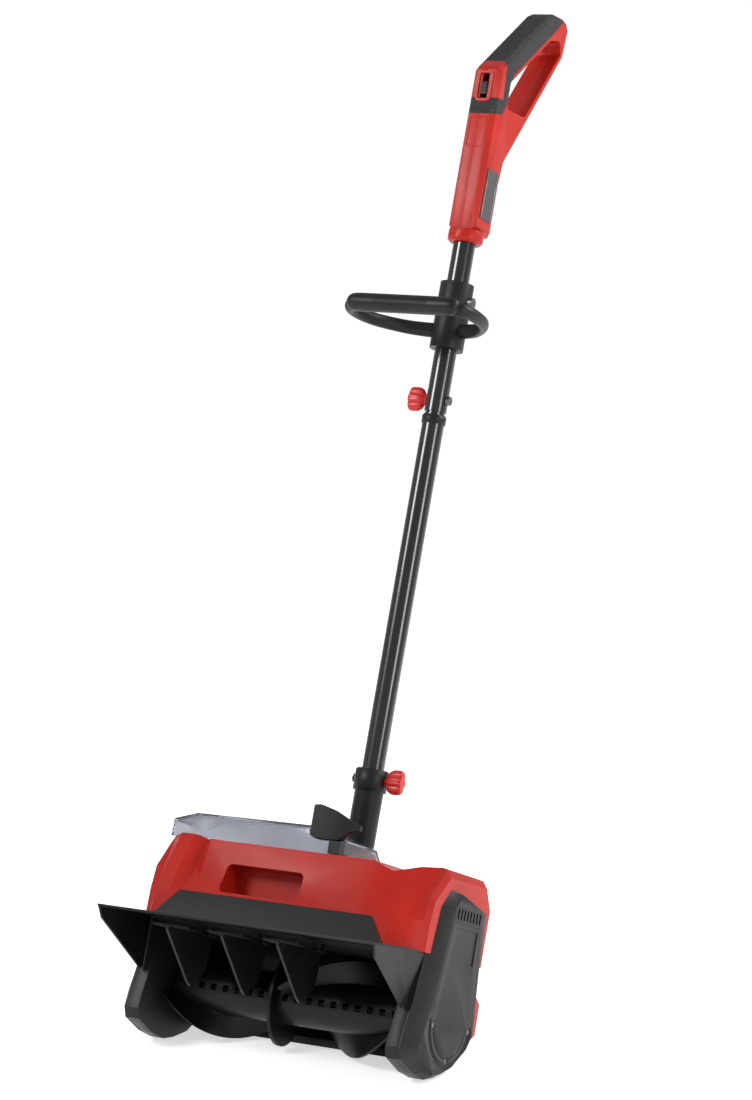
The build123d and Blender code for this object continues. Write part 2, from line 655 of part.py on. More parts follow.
PACK_GAP = 1.5
pack_width = (BAY_RIGHT - BAY_LEFT - 2 * BAY_WALL - 3 * PACK_GAP) / 2
pack_low = (LID_FRONT + 1 + BAY_WALL + PACK_GAP, BAY_FLOOR + BAY_WALL + 3)
pack_rear = LID_REAR - 1 - BAY_WALL - PACK_GAP
for index, word in enumerate(("left", "right")):
    pack_x = BAY_LEFT + BAY_WALL + PACK_GAP + index * (pack_width + PACK_GAP)
    with BuildPart() as battery_pack:
        pack_top = pack_low[1] + PACK_HEIGHT
        box_between((pack_x, pack_low[0], pack_low[1]), (pack_x + pack_width, pack_rear, pack_top))
        fillet(in_order(battery_pack.edges().filter_by(Axis.Z)), 6)
        box_between((pack_x + 18, pack_low[0] - 1, pack_top - 12),
                    (pack_x + pack_width - 18, pack_low[0] + 3, pack_top - 6), Mode.SUBTRACT)
    stand(battery_pack, f"{word}_battery_pack")

with BuildPart() as battery_terminals:
    for index in (0, 1):
        middle = BAY_LEFT + BAY_WALL + PACK_GAP + pack_width / 2 + index * (pack_width + PACK_GAP)
        box_between((middle - 18, LID_REAR - 34, BAY_FLOOR + BAY_WALL),
                    (middle + 18, LID_REAR - 10, BAY_FLOOR + BAY_WALL + 2.6))
stand(battery_terminals, "battery_terminals")

with BuildPart() as control_board:
    board_right = HALF_CLEAR - 12.5
    board_left = board_right - 62
    box_between((board_left, -46, HOOD_BASE + 2), (board_right, -22, HOOD_BASE + 4))
    with Locations((board_left + 12, -34, HOOD_BASE + 8), (board_left + 30, -34, HOOD_BASE + 8)):
        Cylinder(5, 8)
    box_between((board_left + 40, -42, HOOD_BASE + 4), (board_right - 6, -26, HOOD_BASE + 9))
stand(control_board, "control_board")

# ---- motor, pulleys and belt ----
with BuildPart() as drive_motor:
    with BuildSketch(side_plane(HALF_CLEAR - 2 - MOTOR_LENGTH)):
        with Locations((MOTOR_Y, MOTOR_Z)):
            Circle(MOTOR_R)
    extrude(amount=MOTOR_LENGTH - 4)
    with BuildSketch(side_plane(HALF_CLEAR - 6)):
        with Locations((MOTOR_Y, MOTOR_Z)):
            RectangleRounded(2 * MOTOR_R - 2, 2 * MOTOR_R - 2, 8)
    extrude(amount=6)
    with BuildSketch(side_plane(HALF_CLEAR)):
        with Locations((MOTOR_Y, MOTOR_Z)):
            Circle(MOTOR_SHAFT_R + RUN_GAP)
    extrude(amount=-20, mode=Mode.SUBTRACT)
stand(drive_motor, "drive_motor")

with BuildPart() as motor_shaft:
    with BuildSketch(side_plane(HALF_CLEAR - 19.5)):
        with Locations((MOTOR_Y, MOTOR_Z)):
            Circle(MOTOR_SHAFT_R)
    extrude(amount=BELT_X + PULLEY_WIDTH + 1 - HALF_CLEAR + 19.5)
stand(motor_shaft, "motor_shaft")


def pulley(y, z, radius, bore):
    """A flat-belt pulley with a bore, ribbed by a ring of lightening holes if it is large."""
    with BuildPart() as wheel:
        with BuildSketch(side_plane(BELT_X)):
            with Locations((y, z)):
                Circle(radius)
                Circle(bore + RUN_GAP / 5, mode=Mode.SUBTRACT)
                if radius > 25:
                    with PolarLocations(radius * 0.62, 6):
                        Circle(radius * 0.16, mode=Mode.SUBTRACT)
        extrude(amount=PULLEY_WIDTH)
    return wheel


stand(pulley(MOTOR_Y, MOTOR_Z, SMALL_PULLEY_R, MOTOR_SHAFT_R), "motor_pulley")
stand(pulley(0, 0, LARGE_PULLEY_R, SHAFT_R), "auger_pulley")

with BuildPart() as drive_belt:
    with BuildSketch(side_plane(BELT_X + 0.5)):
        for grow, mode in ((PART_GAP + BELT_THICK, Mode.ADD), (PART_GAP, Mode.SUBTRACT)):
            with BuildSketch(mode=Mode.PRIVATE) as loop:
                Circle(LARGE_PULLEY_R + grow)
                with Locations((MOTOR_Y, MOTOR_Z)):
                    Circle(SMALL_PULLEY_R + grow)
                make_hull()
            add(loop.sketch, mode=mode)
    extrude(amount=PULLEY_WIDTH - 1)
stand(drive_belt, "drive_belt")

# ---- auger ----
AUGER_HALF = HALF_CLEAR - 6
AUGER_X = -20.0
with BuildPart() as auger_shaft:
    with BuildSketch(side_plane(-HALF_CLEAR - BEARING_LENGTH)):
        Circle(SHAFT_R)
    extrude(amount=HALF_CLEAR + BEARING_LENGTH + BELT_X + PULLEY_WIDTH + 1)
stand(auger_shaft, "auger_shaft")


def drum_half(upper):
    """Half of the drum: a shell with end discs and notches along the seam."""
    with BuildPart() as half:
        with BuildSketch(side_plane(-AUGER_HALF)):
            Circle(DRUM_R)
        extrude(amount=2 * AUGER_HALF)
        with BuildSketch(side_plane(-AUGER_HALF + 4)):
            Circle(DRUM_R - DRUM_WALL)
        extrude(amount=2 * AUGER_HALF - 8, mode=Mode.SUBTRACT)
        with BuildSketch(side_plane(-AUGER_HALF)):
            Circle(SHAFT_R + RUN_GAP / 5)
        extrude(amount=2 * AUGER_HALF, mode=Mode.SUBTRACT)
        with GridLocations(15, 1, 18, 1):
            for y in (-DRUM_R, DRUM_R):
                with Locations((0, y, 0)):
                    Box(7, 8, 7, mode=Mode.SUBTRACT)
        split(bisect_by=Plane.XY, keep=Keep.TOP if upper else Keep.BOTTOM)
    return half


stand(drum_half(True), "auger_drum_upper")
stand(drum_half(False), "auger_drum_lower")


def flight(start_x, end_x, start_turn, turn):
    """Two opposite helical blades from start_x to end_x."""
    length = end_x - start_x
    with BuildPart() as blades:
        for phase in (0, 180):
            with BuildSketch(side_plane(start_x), mode=Mode.PRIVATE) as root:
                with Locations(Rotation(0, 0, start_turn + phase)):
                    with Locations(((DRUM_R + AUGER_R + 0.4) / 2, 0)):
                        Rectangle(AUGER_R - DRUM_R - 0.4, FLIGHT_THICK)
            add(Solid.extrude_linear_with_rotation(root.sketch.faces()[0], (start_x, 0, 0),
                                                   (length, 0, 0), turn))
    return blades


stand(flight(-AUGER_HALF + 2, AUGER_X - 14, 200, 150), "left_flight")
stand(flight(AUGER_X + 14, AUGER_HALF - 2, 350, -150), "right_flight")

with BuildPart() as centre_paddle:
    with BuildSketch(side_plane(AUGER_X - 2)):
        Ellipse(AUGER_R - 13, AUGER_R)
        Circle(DRUM_R + 0.2, mode=Mode.SUBTRACT)
    extrude(amount=4)
stand(centre_paddle, "centre_paddle")


# ---- pole: socket, tubes, spigot, knobs ----
def tube(low, high, outer, wall, holes=()):
    """A round tube along the pole with cross holes along X."""
    with BuildPart() as pipe:
        with BuildSketch(pole_plane(low)):
            Circle(outer)
            Circle(outer - wall, mode=Mode.SUBTRACT)
        extrude(amount=high - low)
        for z in holes:
            with Locations(across(0, POLE_Y, z)):
                Cylinder(BOLT_R + RUN_GAP, 4 * outer, mode=Mode.SUBTRACT)
    return pipe


LOWER_KNOB_Z = SOCKET_TOP - 11
UPPER_KNOB_Z = NECK_Z + 17
NECK_GAP = 3.0
NUT_DEPTH = 4.0
with BuildPart() as pole_socket:
    with BuildSketch(pole_plane(HOOD_BASE + 12)):
        Circle(SOCKET_R)
    extrude(amount=SOCKET_TOP - HOOD_BASE - 12)
    with BuildSketch(pole_plane(SOCKET_TOP - 22)):
        Circle(SOCKET_R + 1.5)
    extrude(amount=22)
    with BuildSketch(pole_plane(TUBE_START)):
        Circle(TUBE_R + RUN_GAP)
    extrude(amount=SOCKET_TOP - TUBE_START, mode=Mode.SUBTRACT)
    with BuildSketch(pole_plane(HOOD_BASE + 12)):
        Circle(TUBE_R - 3)
    extrude(amount=TUBE_START - HOOD_BASE - 12, mode=Mode.SUBTRACT)
    with Locations(across(0, POLE_Y, LOWER_KNOB_Z)):
        Cylinder(BOLT_R + RUN_GAP, 4 * SOCKET_R, mode=Mode.SUBTRACT)
stand(pole_socket, "pole_socket")
stand(tube(TUBE_START, NECK_Z, TUBE_R, TUBE_WALL, [LOWER_KNOB_Z]), "lower_tube")
stand(tube(NECK_Z + NECK_GAP, TUBE_TOP, TUBE_R, TUBE_WALL, [UPPER_KNOB_Z]), "upper_tube")
stand(tube(NECK_Z - SPIGOT_LENGTH / 2, NECK_Z + SPIGOT_LENGTH / 2, TUBE_R - TUBE_WALL - 0.1, 1.4,
           [UPPER_KNOB_Z]), "tube_spigot")


def wing_knob(z, side, seat):
    """A hub with two wings, screwed down on the seat radius from one side."""
    with BuildPart() as knob:
        with BuildSketch(Plane(origin=(side * seat, POLE_Y, z), x_dir=(0, 1, 0), z_dir=(side, 0, 0))):
            Circle(KNOB_R / 2)
        extrude(amount=KNOB_R + 5)
        with BuildSketch(Plane(origin=(side * (seat + 6), POLE_Y, z), x_dir=(0, 1, 0), z_dir=(side, 0, 0))):
            for end in (-1, 1):
                with Locations((0, end * KNOB_R * 0.62)):
                    RectangleRounded(8, KNOB_R * 0.76, 3)
            Rectangle(8, KNOB_R)
        extrude(amount=KNOB_R + 2)
        with Locations(across(side * seat, POLE_Y, z)):
            Cylinder(BOLT_R + RUN_GAP / 5, 2 * KNOB_R, mode=Mode.SUBTRACT)
    return knob


def clamp_bolt(z, side, seat, far):
    """The bolt from inside a wing knob, through the tube, to the nut on the far side."""
    with BuildPart() as bolt:
        with BuildSketch(Plane(origin=(-side * far, POLE_Y, z), x_dir=(0, 1, 0), z_dir=(side, 0, 0))):
            Circle(BOLT_R)
        extrude(amount=far + seat + KNOB_R - 0.5)
    return bolt


KNOB_GAP = 0.3
lower_seat = SOCKET_R + 1.5 + KNOB_GAP
upper_seat = TUBE_R + KNOB_GAP
stand(wing_knob(LOWER_KNOB_Z, 1, lower_seat), "lower_wing_knob")
stand(clamp_bolt(LOWER_KNOB_Z, 1, lower_seat, SOCKET_R + 1.5 + NUT_DEPTH), "lower_clamp_bolt")
stand(wing_knob(UPPER_KNOB_Z, -1, upper_seat), "upper_wing_knob")
stand(clamp_bolt(UPPER_KNOB_Z, -1, upper_seat, TUBE_R + NUT_DEPTH), "upper_clamp_bolt")

with BuildPart() as clamp_nuts:
    for z, side, seat in ((LOWER_KNOB_Z, -1, SOCKET_R + 1.5), (UPPER_KNOB_Z, 1, TUBE_R)):
        with BuildSketch(Plane(origin=(side * seat, POLE_Y, z), x_dir=(0, 1, 0), z_dir=(side, 0, 0))):
            RegularPolygon(BOLT_R + 2.4, 6)
            Circle(BOLT_R + RUN_GAP, mode=Mode.SUBTRACT)
        extrude(amount=NUT_DEPTH)
stand(clamp_nuts, "clamp_nuts")

with BuildPart() as power_cable:
    with BuildSketch(pole_plane(HOOD_BASE + 16)):
        with Locations((0, 6.2)):
            Circle(2)
    extrude(amount=TUBE_TOP - HOOD_BASE + 10)
stand(power_cable, "power_cable")

# ---- front handle: a loop clamped to the upper tube ----
LOOP_Z = AUX_Z - 6.0
AUX_FRONT = POLE_Y - AUX_REACH
with BuildPart() as aux_handle:
    with BuildLine(Plane.XY.offset(LOOP_Z)) as loop_path:
        FilletPolyline((14, POLE_Y - 6), (AUX_HALF - 2, AUX_FRONT + 82), (AUX_HALF + 7, AUX_FRONT + 36),
                       (AUX_HALF - 6, AUX_FRONT), (-AUX_HALF + 6, AUX_FRONT),
                       (-AUX_HALF - 7, AUX_FRONT + 36), (-AUX_HALF + 2, AUX_FRONT + 82),
                       (-14, POLE_Y - 6), radius=18)
    with BuildSketch(Plane(loop_path.line @ 0, z_dir=loop_path.line % 0)):
        Circle(AUX_GRIP_R)
    sweep()
    with BuildSketch(pole_plane(LOOP_Z - 2 * AUX_GRIP_R)):
        Circle(AUX_CLAMP_R + 0.1)
    extrude(amount=4 * AUX_GRIP_R, mode=Mode.SUBTRACT)
stand(aux_handle, "aux_handle")

with BuildPart() as aux_clamp:
    with BuildSketch(pole_plane(AUX_Z - AUX_CLAMP_LENGTH / 2 + 10)):
        Circle(AUX_CLAMP_R)
        Circle(TUBE_R + RUN_GAP, mode=Mode.SUBTRACT)
    extrude(amount=AUX_CLAMP_LENGTH)
    with Locations(across(AUX_CLAMP_R, POLE_Y, AUX_Z + 27)):
        Cylinder(BOLT_R + RUN_GAP, AUX_CLAMP_R, mode=Mode.SUBTRACT)
stand(aux_clamp, "aux_clamp")

with BuildPart() as aux_clamp_screw:
    with BuildSketch(across(TUBE_R + 0.4, POLE_Y, AUX_Z + 27)):
        Circle(BOLT_R)
    extrude(amount=AUX_CLAMP_R + 5 - TUBE_R)
    with BuildSketch(across(AUX_CLAMP_R + 0.2, POLE_Y, AUX_Z + 27)):
        Circle(BOLT_R * 2)
    extrude(amount=5)
stand(aux_clamp_screw, "aux_clamp_screw")

# ---- main handle: two shells, rubber grip, trigger, lock slide ----
BODY_FRONT = 16.5
BODY_REAR = 26.0
GRIP_START = 204.0
GRIP_RISE = 76.0
GRIP_DEPTH = 25.0
HANDLE_TOP = 290.0
EDGE_ROUND = 5.0


def handle_outline():
    """Side view of the handle round its outside, measured from the pole axis and its lower end."""
    return [
        (-BODY_FRONT, 0),
        (-BODY_FRONT, GRIP_START - 16),
        (0, GRIP_START),
        (GRIP_RISE, GRIP_START + GRIP_RISE),
        (GRIP_RISE + 12, HANDLE_TOP - 3),
        (GRIP_RISE + 41, HANDLE_TOP),
        (GRIP_RISE + 51, HANDLE_TOP - 10),
        (GRIP_RISE + 48, HANDLE_TOP - 46),
        (GRIP_RISE - 5, HANDLE_TOP - 134),
        (BODY_REAR + 3, 88),
        (BODY_REAR, 62),
        (BODY_REAR, 0),
    ]


def finger_gap():
    """Side view of the opening that the fingers pass through."""
    slope = GRIP_DEPTH * 1.414
    return [
        (11, 148),
        (11, GRIP_START - slope + 11),
        (GRIP_RISE + 10, GRIP_START - slope + GRIP_RISE + 10),
        (GRIP_RISE + 33, GRIP_START - slope + GRIP_RISE + 17),
        (GRIP_RISE + 38, HANDLE_TOP - 44),
        (GRIP_RISE - 21, 152),
    ]


HANDLE_PLANE = Plane(origin=(0, POLE_Y, HANDLE_Z), x_dir=(0, 1, 0), z_dir=(1, 0, 0))


def handle_block(shrink):
    """The handle as a solid block with its finger gap, drawn in by shrink on every side."""
    half = HANDLE_HALF - shrink
    with BuildPart() as block:
        with BuildSketch(HANDLE_PLANE.offset(-half)) as outline:
            Polygon(*handle_outline(), align=None)
            fillet(in_order(outline.vertices())[2:], 7)
            with BuildSketch(mode=Mode.PRIVATE) as gap:
                Polygon(*finger_gap(), align=None)
                fillet(in_order(gap.vertices()), 6)
            add(gap.sketch, mode=Mode.SUBTRACT)
            if shrink > 0:
                offset(amount=-shrink, mode=Mode.REPLACE)
        extrude(amount=2 * half)
        if shrink < EDGE_ROUND:
            for end in (0, -1):
                rim = block.faces().sort_by(Axis.X)[end].outer_wire()
                chamfer(in_order(rim.edges()), EDGE_ROUND - shrink)
    return block.part


TRIGGER_HALF = 5.5
TRIGGER_LENGTH = 86.0
TRIGGER_DEPTH = 8.0
TRIGGER_GAP = 0.4
PIVOT_DEPTH = -2.2
PIVOT_R = 1.2
PIVOT_BOSS_R = 2.6
PIVOT_HOLD = 3.0
under = GRIP_START - GRIP_DEPTH * 1.414
trigger_low = (16.5, under + 16.5)
run = TRIGGER_LENGTH / 1.414
trigger_high = (trigger_low[0] + run, trigger_low[1] + run)


def off_line(point, depth):
    """A point moved square to the grip's underside, into the finger gap for positive depth."""
    return (point[0] + depth / 1.414, point[1] - depth / 1.414)


trigger_pivot = off_line(trigger_high, PIVOT_DEPTH)


def trigger_room():
    """The space that the trigger swings in, with the bore of its pivot pin."""
    past_end = PIVOT_BOSS_R + TRIGGER_GAP
    low = (trigger_low[0] - 1, trigger_low[1] - 1)
    high = (trigger_high[0] + past_end, trigger_high[1] + past_end)
    half = TRIGGER_HALF + TRIGGER_GAP
    with BuildPart() as room:
        with BuildSketch(HANDLE_PLANE.offset(-half)):
            Polygon(off_line(low, 3), off_line(high, 3), off_line(high, -9), off_line(low, -9), align=None)
        extrude(amount=2 * half)
        with BuildSketch(HANDLE_PLANE.offset(-half - PIVOT_HOLD)):
            with Locations(trigger_pivot):
                Circle(PIVOT_R + RUN_GAP / 5)
        extrude(amount=2 * (half + PIVOT_HOLD))
    return room.part


HANDLE_OUTER = handle_block(0)
HANDLE_CORE = handle_block(SKIN)
HANDLE_CAVITY = handle_block(HANDLE_WALL + SKIN)

with BuildPart() as grip_cover:
    add(HANDLE_OUTER)
    add(HANDLE_CORE, mode=Mode.SUBTRACT)
    with BuildSketch(HANDLE_PLANE.offset(-HANDLE_HALF)):
        Polygon((-BODY_FRONT - 5, 133), (-BODY_FRONT - 5, 152), (0, 155), (-4, GRIP_START - 14),
                (-6, GRIP_START + 6), (GRIP_RISE + 8, HANDLE_TOP + 4), (GRIP_RISE + 34, HANDLE_TOP - 4),
                (GRIP_RISE + 20, HANDLE_TOP - 20), (16, GRIP_START - 14), (9, 150), (2, 138), align=None)
    extrude(amount=2 * HANDLE_HALF, mode=Mode.INTERSECT)
    add(trigger_room(), mode=Mode.SUBTRACT)
GRIP_PART = grip_cover.part.moved(Location())
stand(grip_cover, "grip_cover")

LOCK_Z = 167.0
LOCK_WIDTH = 8.0
LOCK_LENGTH = 15.0
LOCK_TRAVEL = 6.0
LABEL_WIDTH = 26.0
LABEL_LENGTH = 58.0
LABEL_THICK = 0.8
HANDLE_SCREWS = [(14, 30), (14, 110), (GRIP_RISE + 41.5, HANDLE_TOP - 27)]


def handle_shell(side):
    """One half of the handle, hollow, with its openings."""
    with BuildPart() as shell:
        add(HANDLE_OUTER)
        add(GRIP_PART, mode=Mode.SUBTRACT)
        add(HANDLE_CAVITY, mode=Mode.SUBTRACT)
        with BuildSketch(pole_plane(HANDLE_Z - 1)):
            Circle(TUBE_R + RUN_GAP)
        extrude(amount=TUBE_TOP - HANDLE_Z + 2, mode=Mode.SUBTRACT)
        add(trigger_room(), mode=Mode.SUBTRACT)
        with Locations((0, POLE_Y - BODY_FRONT, HANDLE_Z + LOCK_Z)):
            Box(LOCK_WIDTH + 0.6, 20, LOCK_LENGTH + 2 * LOCK_TRAVEL + 2, mode=Mode.SUBTRACT)
        if side < 0:
            for y, z in HANDLE_SCREWS:
                with Locations(across(-HANDLE_HALF, POLE_Y + y, HANDLE_Z + z)):
                    Cylinder(SCREW_R + RUN_GAP, 6, mode=Mode.SUBTRACT)
        split(bisect_by=Plane.YZ, keep=Keep.TOP if side > 0 else Keep.BOTTOM)
    return shell


stand(handle_shell(-1), "handle_left_shell")
stand(handle_shell(1), "handle_right_shell")

with BuildPart() as handle_collar:
    with BuildSketch(pole_plane(HANDLE_Z - COLLAR_LENGTH)):
        Circle(COLLAR_R)
        Circle(TUBE_R + RUN_GAP, mode=Mode.SUBTRACT)
    extrude(amount=COLLAR_LENGTH)
    lower_rings = handle_collar.edges().filter_by(GeomType.CIRCLE).sort_by(Axis.Z)[0:2]
    chamfer(lower_rings.sort_by(SortBy.RADIUS)[-1], 3)
stand(handle_collar, "handle_collar")

with BuildPart() as trigger:
    with BuildSketch(HANDLE_PLANE.offset(-TRIGGER_HALF)):
        Polygon(off_line(trigger_low, -1.5), off_line(trigger_low, TRIGGER_DEPTH),
                off_line((trigger_low[0] + 22, trigger_low[1] + 22), TRIGGER_DEPTH - 1),
                off_line(trigger_high, 2.6), off_line(trigger_high, -1.5), align=None)
        with Locations(trigger_pivot):
            Circle(PIVOT_BOSS_R)
            Circle(PIVOT_R + RUN_GAP, mode=Mode.SUBTRACT)
    extrude(amount=2 * TRIGGER_HALF)
stand(trigger, "trigger")

with BuildPart() as lock_slide:
    with Locations((0, POLE_Y - BODY_FRONT + 1.2, HANDLE_Z + LOCK_Z - LOCK_TRAVEL / 2)):
        Box(LOCK_WIDTH, 5, LOCK_LENGTH)
    for step in (-4, 0, 4):
        with Locations((0, POLE_Y - BODY_FRONT - 1.6, HANDLE_Z + LOCK_Z - LOCK_TRAVEL / 2 + step)):
            Box(LOCK_WIDTH - 1, 1, 1.4)
stand(lock_slide, "lock_slide")

with BuildPart() as label_plate:
    with BuildSketch(HANDLE_PLANE.offset(HANDLE_HALF)):
        with Locations(((BODY_REAR - BODY_FRONT) / 2, 44)):
            RectangleRounded(LABEL_WIDTH, LABEL_LENGTH, 2)
    extrude(amount=LABEL_THICK)
stand(label_plate, "label_plate")

with BuildPart() as case_screws:
    for side in (-1, 1):
        with Locations(*[across(side * (COVER_OUT - 2.2), y, z) for y, z in COVER_SCREWS]):
            Cylinder(SCREW_R, 3.6)
    with Locations(*[across(1.9 - HANDLE_HALF, POLE_Y + y, HANDLE_Z + z) for y, z in HANDLE_SCREWS]):
        Cylinder(SCREW_R, 2.2)
    with Locations(across(0, POLE_Y + trigger_pivot[0], HANDLE_Z + trigger_pivot[1])):
        Cylinder(PIVOT_R, 2 * (TRIGGER_HALF + TRIGGER_GAP + PIVOT_HOLD) - 0.2)
stand(case_screws, "case_screws")
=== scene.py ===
import json
import math

import bmesh
import bpy
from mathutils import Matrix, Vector


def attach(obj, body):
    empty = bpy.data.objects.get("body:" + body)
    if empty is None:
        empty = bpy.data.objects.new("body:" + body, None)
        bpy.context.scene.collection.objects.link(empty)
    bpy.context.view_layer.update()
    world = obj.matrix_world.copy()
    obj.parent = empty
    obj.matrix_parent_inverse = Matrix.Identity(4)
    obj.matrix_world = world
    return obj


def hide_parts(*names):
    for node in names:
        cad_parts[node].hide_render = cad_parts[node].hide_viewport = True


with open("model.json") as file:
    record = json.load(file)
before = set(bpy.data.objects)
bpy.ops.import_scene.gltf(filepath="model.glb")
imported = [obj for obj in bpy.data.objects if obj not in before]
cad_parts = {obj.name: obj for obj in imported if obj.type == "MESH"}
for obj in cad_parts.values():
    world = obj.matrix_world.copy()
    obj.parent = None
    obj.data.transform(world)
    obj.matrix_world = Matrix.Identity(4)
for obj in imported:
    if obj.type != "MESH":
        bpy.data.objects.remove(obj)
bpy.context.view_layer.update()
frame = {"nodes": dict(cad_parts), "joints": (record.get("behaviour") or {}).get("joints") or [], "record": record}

MM = 0.001
NODES = frame["nodes"]
JOINTS = {joint["name"]: joint for joint in frame["joints"]}
SLOT_OF = {part["node"]: part["material_slot"] for part in frame["record"]["subparts"]}

# ---- the machine's own directions, taken from its joints ----
AUGER = Vector(JOINTS["auger_spin"]["pos_m"])
WIDE = Vector((1, 0, 0))
UP = Vector(JOINTS["lever_turn"]["axis"]).normalized()
DEEP = UP.cross(WIDE)
BODIES = frame["record"]["behaviour"]["bodies"]
BODY_OF = {node: body for body, members in BODIES.items() for node in members}


def place(x, y, z):
    """A point given in machine millimetres: across, to the rear and up the pole from the auger axis."""
    return AUGER + (WIDE * x + DEEP * y + UP * z) * MM


def machine(point):
    """A row-frame point in machine millimetres."""
    offset = (Vector(point) - AUGER) / MM
    return Vector((offset.dot(WIDE), offset.dot(DEEP), offset.dot(UP)))


def extent(node):
    """Lowest and highest machine coordinates of a CAD node."""
    points = [machine(vertex.co) for vertex in NODES[node].data.vertices]
    low = Vector([min(point[axis] for point in points) for axis in range(3)])
    high = Vector([max(point[axis] for point in points) for axis in range(3)])
    return low, high


# ---- camera ----
CAMERA_AT = Vector((2.144, -3.5907, 1.1673))
CAMERA_BACK = Vector((0.49405, -0.85673, 0.14810))
CAMERA_LENS = 130.4
CAMERA_SENSOR = 36
CAMERA_REACH = 900
camera_data = bpy.data.cameras.new("camera")
camera_data.lens = CAMERA_LENS
camera_data.sensor_width = CAMERA_SENSOR
camera_data.clip_end = CAMERA_REACH
camera = bpy.data.objects.new("camera", camera_data)
camera.location = CAMERA_AT
camera.rotation_mode = "QUATERNION"
camera.rotation_quaternion = (-CAMERA_BACK).to_track_quat("-Z", "Y")
bpy.context.scene.collection.objects.link(camera)
bpy.context.scene.camera = camera


# ---- materials ----
COAT_ROUGHNESS = 0.12


class Shader:
    """A material whose colour, roughness and relief come from procedural nodes."""

    def __init__(self, name, roughness_range, coat=0.0, metallic=0.0, specular=0.5):
        self.material = bpy.data.materials.new(name)
        self.material.use_nodes = True
        self.nodes = self.material.node_tree.nodes
        self.links = self.material.node_tree.links
        self.surface = self.nodes["Principled BSDF"]
        self.surface.inputs["Coat Weight"].default_value = coat
        self.surface.inputs["Coat Roughness"].default_value = COAT_ROUGHNESS
        self.surface.inputs["Metallic"].default_value = metallic
        self.surface.inputs["Specular IOR Level"].default_value = specular
        self.where = self.nodes.new("ShaderNodeTexCoord").outputs["Object"]
        self.relief = None
        cloudy = self.noise(14, 4)
        spread = self.nodes.new("ShaderNodeMapRange")
        spread.inputs["To Min"].default_value = roughness_range[0]
        spread.inputs["To Max"].default_value = roughness_range[1]
        self.links.new(cloudy, spread.inputs["Value"])
        self.links.new(spread.outputs["Result"], self.surface.inputs["Roughness"])

    def noise(self, scale, detail=3, stretch=(1, 1, 1)):
        mapping = self.nodes.new("ShaderNodeMapping")
        mapping.inputs["Scale"].default_value = stretch
        texture = self.nodes.new("ShaderNodeTexNoise")
        texture.inputs["Scale"].default_value = scale
        texture.inputs["Detail"].default_value = detail
        self.links.new(self.where, mapping.inputs["Vector"])
        self.links.new(mapping.outputs["Vector"], texture.inputs["Vector"])
        return texture.outputs["Fac"]

    def cells(self, scale):
        texture = self.nodes.new("ShaderNodeTexVoronoi")
        texture.inputs["Scale"].default_value = scale
        self.links.new(self.where, texture.inputs["Vector"])
        return texture.outputs["Distance"]

    def colour(self, pattern, dark, light):
        ramp = self.nodes.new("ShaderNodeValToRGB")
        ramp.color_ramp.elements[0].position = 0.3
        ramp.color_ramp.elements[0].color = (*dark, 1)
        ramp.color_ramp.elements[1].position = 0.7
        ramp.color_ramp.elements[1].color = (*light, 1)
        self.links.new(pattern, ramp.inputs["Fac"])
        self.links.new(ramp.outputs["Color"], self.surface.inputs["Base Color"])

    def bump(self, pattern, strength, depth):
        node = self.nodes.new("ShaderNodeBump")
        node.inputs["Strength"].default_value = strength
        node.inputs["Distance"].default_value = depth * MM
        self.links.new(pattern, node.inputs["Height"])
        if self.relief:
            self.links.new(self.relief, node.inputs["Normal"])
        self.relief = node.outputs["Normal"]
        self.links.new(self.relief, self.surface.inputs["Normal"])


def moulded(name, dark, light, roughness_range, grain=1100, depth=0.12, coat=0.0, specular=0.5):
    """Injection-moulded plastic: cloudy colour, fine etched grain and a slow waviness."""
    shader = Shader(name, roughness_range, coat, specular=specular)
    shader.colour(shader.noise(22, 5), dark, light)
    shader.bump(shader.noise(grain, 2), 0.22, depth)
    shader.bump(shader.noise(16, 1), 0.05, 1.2)
    return shader.material


def rubber(name):
    """Soft grip rubber with a pebbled surface."""
    shader = Shader(name, (0.62, 0.8), specular=0.35)
    shader.colour(shader.cells(480), (0.012, 0.012, 0.013), (0.026, 0.026, 0.027))
    shader.bump(shader.cells(480), 0.55, 0.4)
    return shader.material


def lacquered_tube(name):
    """Black lacquered aluminium tube with faint draw lines along its length."""
    shader = Shader(name, (0.16, 0.26), coat=0.5, metallic=0.25)
    shader.colour(shader.noise(60, 4, (1, 0.05, 0.05)), (0.006, 0.006, 0.007), (0.016, 0.016, 0.017))
    shader.bump(shader.noise(300, 2, (1, 0.04, 0.04)), 0.08, 0.1)
    return shader.material


def metal(name, dark, light, roughness_range, stretch=(1, 1, 1)):
    """Bare or plated metal with brushed streaks."""
    shader = Shader(name, roughness_range, metallic=1.0)
    shader.colour(shader.noise(70, 5, stretch), dark, light)
    shader.bump(shader.noise(420, 2, stretch), 0.12, 0.08)
    return shader.material


def smoky_clear(name):
    """Clear smoke-tinted lid with faint moulding ripples."""
    shader = Shader(name, (0.03, 0.1), specular=0.5)
    shader.colour(shader.noise(12, 3), (0.47, 0.48, 0.52), (0.58, 0.59, 0.63))
    shader.bump(shader.noise(20, 1), 0.05, 0.8)
    shader.surface.inputs["Transmission Weight"].default_value = 0.9
    shader.surface.inputs["IOR"].default_value = 1.2
    return shader.material


